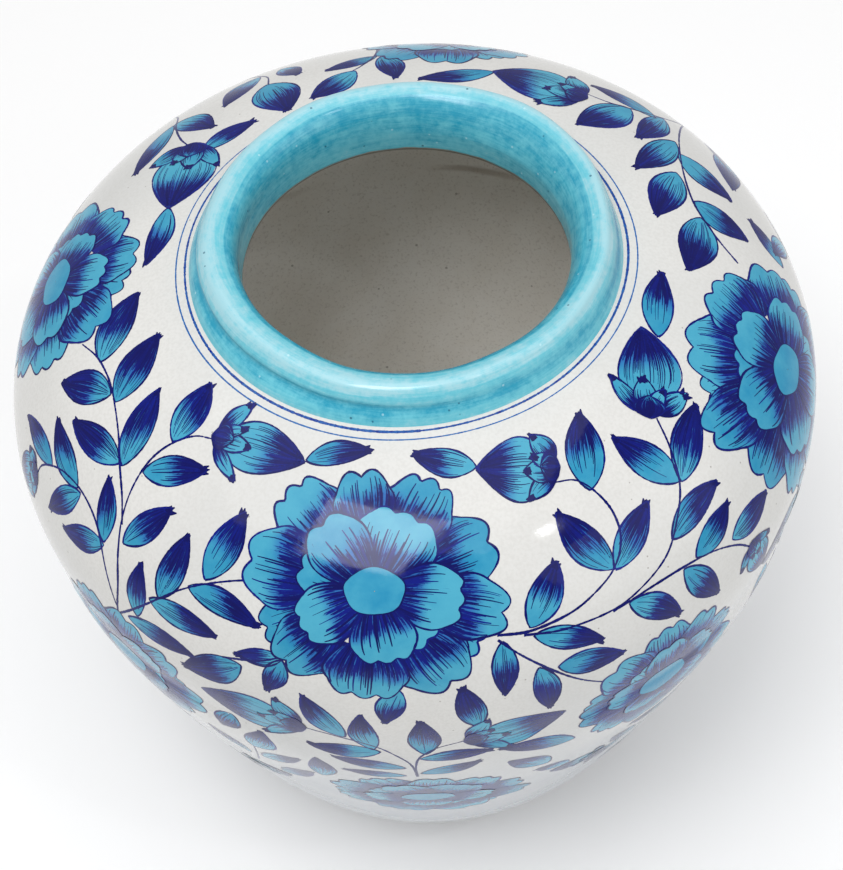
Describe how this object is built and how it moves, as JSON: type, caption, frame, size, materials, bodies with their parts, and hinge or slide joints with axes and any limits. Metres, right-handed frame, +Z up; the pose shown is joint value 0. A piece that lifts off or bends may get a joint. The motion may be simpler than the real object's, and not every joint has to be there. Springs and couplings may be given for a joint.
{
  "type": "round pottery vase",
  "caption": "Squat round glazed pottery vase with a small turned foot, wide shoulder and short rolled neck, painted with flowers and leaves.",
  "frame": {"origin": "centre of the foot's resting face", "axes": "+Z up along the axis the vase is turned about, from the foot to the mouth"},
  "size_m": [0.2, 0.2, 0.2052],
  "materials": {
    "glazed_body": "clear glossy glaze over a white ground with cobalt and turquoise painting",
    "turquoise_glaze": "glossy, brushed and streaky",
    "quartz_body": "bare, fine and matt",
    "slip": "bare, matt"
  },
  "bodies": {
    "root": {"foot_ring": "quartz_body", "foot_slip": "slip", "base_floor": "quartz_body", "lower_body": "glazed_body", "belly_slip": "slip", "upper_body": "glazed_body", "neck_slip": "slip", "neck_collar": "turquoise_glaze", "rolled_lip": "turquoise_glaze"}
  },
  "joints": []
}
